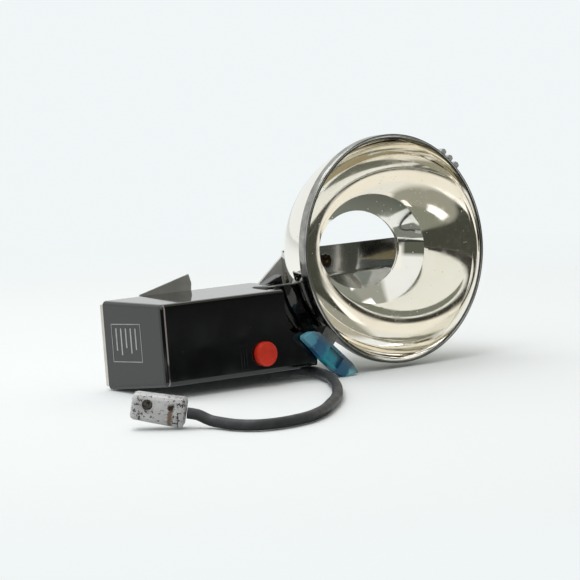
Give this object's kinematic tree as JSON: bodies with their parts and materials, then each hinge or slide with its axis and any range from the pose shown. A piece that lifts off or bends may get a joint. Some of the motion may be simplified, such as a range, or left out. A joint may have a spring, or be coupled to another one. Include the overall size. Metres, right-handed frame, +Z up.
{
  "type": "bulb flashgun with bowl reflector",
  "caption": "Battery-capacitor flashgun lying on its side: boxed case, push button, deep polished bowl reflector with a lamp opening, and a short cord with a plug.",
  "frame": {"origin": "centre of the lying flashgun's bounding box at the table, measured without the cord and plug", "axes": "+X along the case towards the reflector, -Y the side that the reflector faces, +Z up from the table"},
  "size_m": [0.3106, 0.2106, 0.1348],
  "materials": {
    "black_moulding": "glossy black",
    "plate_metal": "satin, champagne tint",
    "satin_steel": "satin",
    "polished_steel": "polished",
    "bowl_metal": "mirror polished, champagne tint",
    "ring_metal": "bright",
    "red_plastic": "glossy red",
    "blue_plastic": "translucent blue",
    "cord_rubber": "matte dark grey",
    "worn_plug": "worn, speckled light grey",
    "brass": "plain",
    "fibre": "brown fibre",
    "battery_card": "card wrap",
    "capacitor_can": "plain can"
  },
  "bodies": {
    "housing": {"case_shell": "black_moulding", "case_ear": "black_moulding", "back_plate": "plate_metal", "cover_screw_1": "plate_metal", "cover_screw_2": "plate_metal", "mounting_foot": "satin_steel", "foot_rivet_1": "polished_steel", "foot_rivet_2": "polished_steel", "foot_rivet_3": "polished_steel", "foot_rivet_4": "polished_steel", "button_spring": "polished_steel", "terminal_board": "fibre", "board_post_1": "brass", "board_post_2": "brass", "switch_blade_lower": "brass", "switch_blade_upper": "brass", "battery": "battery_card", "battery_contact_end": "brass", "battery_contact_inner": "brass", "capacitor": "capacitor_can", "capacitor_strap": "satin_steel", "resistor": "fibre", "reflector_bowl": "bowl_metal", "rim_ring": "ring_metal", "rim_knuckle_1": "ring_metal", "rim_knuckle_2": "ring_metal", "rim_knuckle_3": "ring_metal", "rim_clip": "blue_plastic", "clip_block": "satin_steel", "lamp_bridge": "polished_steel", "socket_sleeve": "polished_steel", "socket_insulator": "fibre", "socket_contact": "brass", "reflector_neck": "black_moulding", "reflector_arm": "satin_steel", "cord_sleeve": "cord_rubber", "cord": "cord_rubber", "plug_body": "worn_plug", "plug_pin": "brass"},
    "button": {"push_button": "red_plastic"}
  },
  "joints": [
    {"name": "button_press", "type": "slide", "parent": "housing", "child": "button", "axis": [0, 0.9964, -0.0847], "range_m": [0, 0.0018], "stiffness_N_per_m": 400, "deforming": ["button_spring"]}
  ]
}
